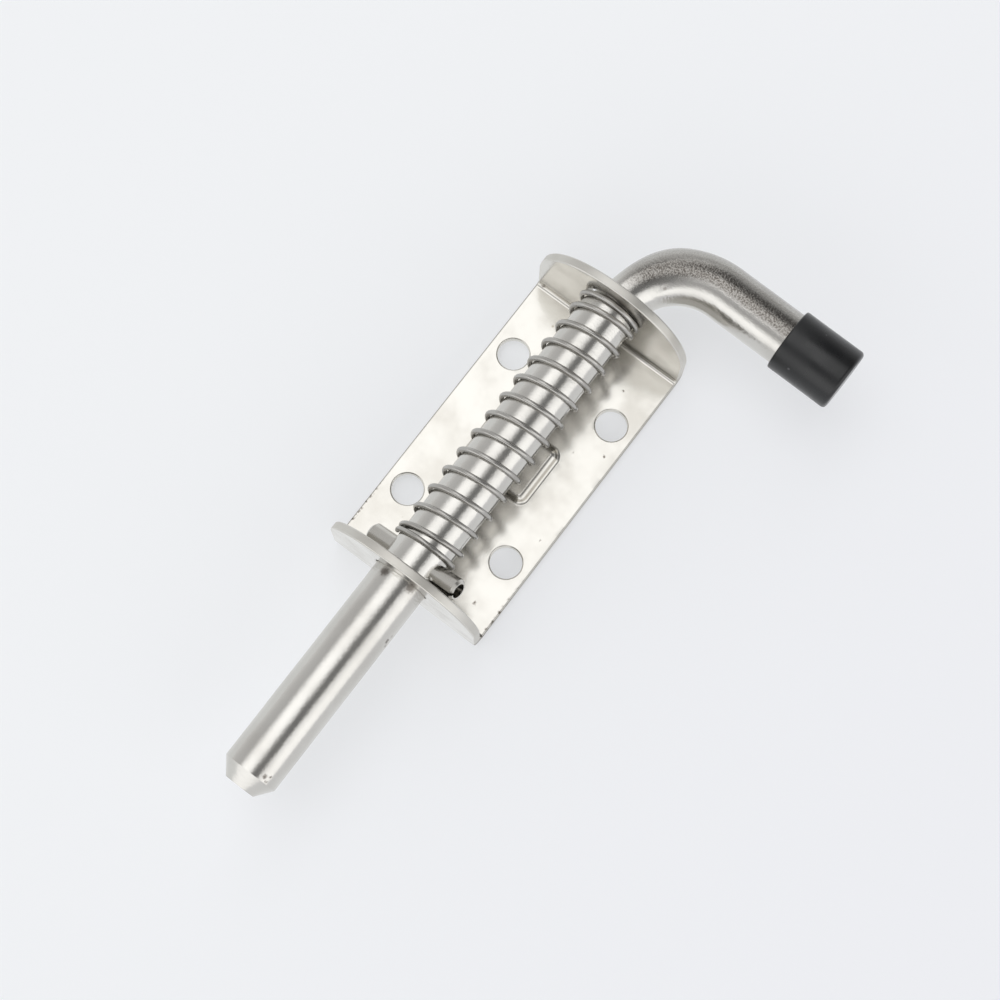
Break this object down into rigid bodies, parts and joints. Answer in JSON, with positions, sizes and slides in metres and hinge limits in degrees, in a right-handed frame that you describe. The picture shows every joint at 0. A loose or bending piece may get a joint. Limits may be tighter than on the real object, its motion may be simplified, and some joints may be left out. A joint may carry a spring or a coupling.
{
  "type": "spring loaded gate latch",
  "caption": "Gate latch with a sprung round bolt, bent handle and rubber grip, sliding through the two ears of a folded screw plate.",
  "frame": {"origin": "centre of the four screw holes, on the back face of the plate", "axes": "+X the way the bolt shoots, +Y the way the handle points at rest, +Z out of the mounting surface"},
  "size_m": [0.1462, 0.0658, 0.03],
  "materials": {
    "plate_steel": "satin tumbled stainless sheet",
    "rod_steel": "polished stainless bar",
    "pin_steel": "plain rolled spring steel",
    "spring_steel": "bright drawn stainless wire",
    "cap_rubber": "satin black rubber"
  },
  "bodies": {
    "bracket": {"mounting_plate": "plate_steel"},
    "spring": {"compression_spring": "spring_steel"},
    "bolt": {"bolt_rod": "rod_steel", "spring_pin": "pin_steel", "grip_cap": "cap_rubber"}
  },
  "joints": [
    {"name": "turn", "type": "hinge", "parent": "bracket", "child": "spring", "pos_m": [0, 0, 0.0184], "axis": [1, 0, 0], "range_deg": [-12, 192]},
    {"name": "retract", "type": "slide", "parent": "spring", "child": "bolt", "axis": [-1, 0, 0], "range_m": [0, 0.042], "stiffness_N_per_m": 440, "springref_m": -0.02, "deforming": ["compression_spring"]}
  ]
}
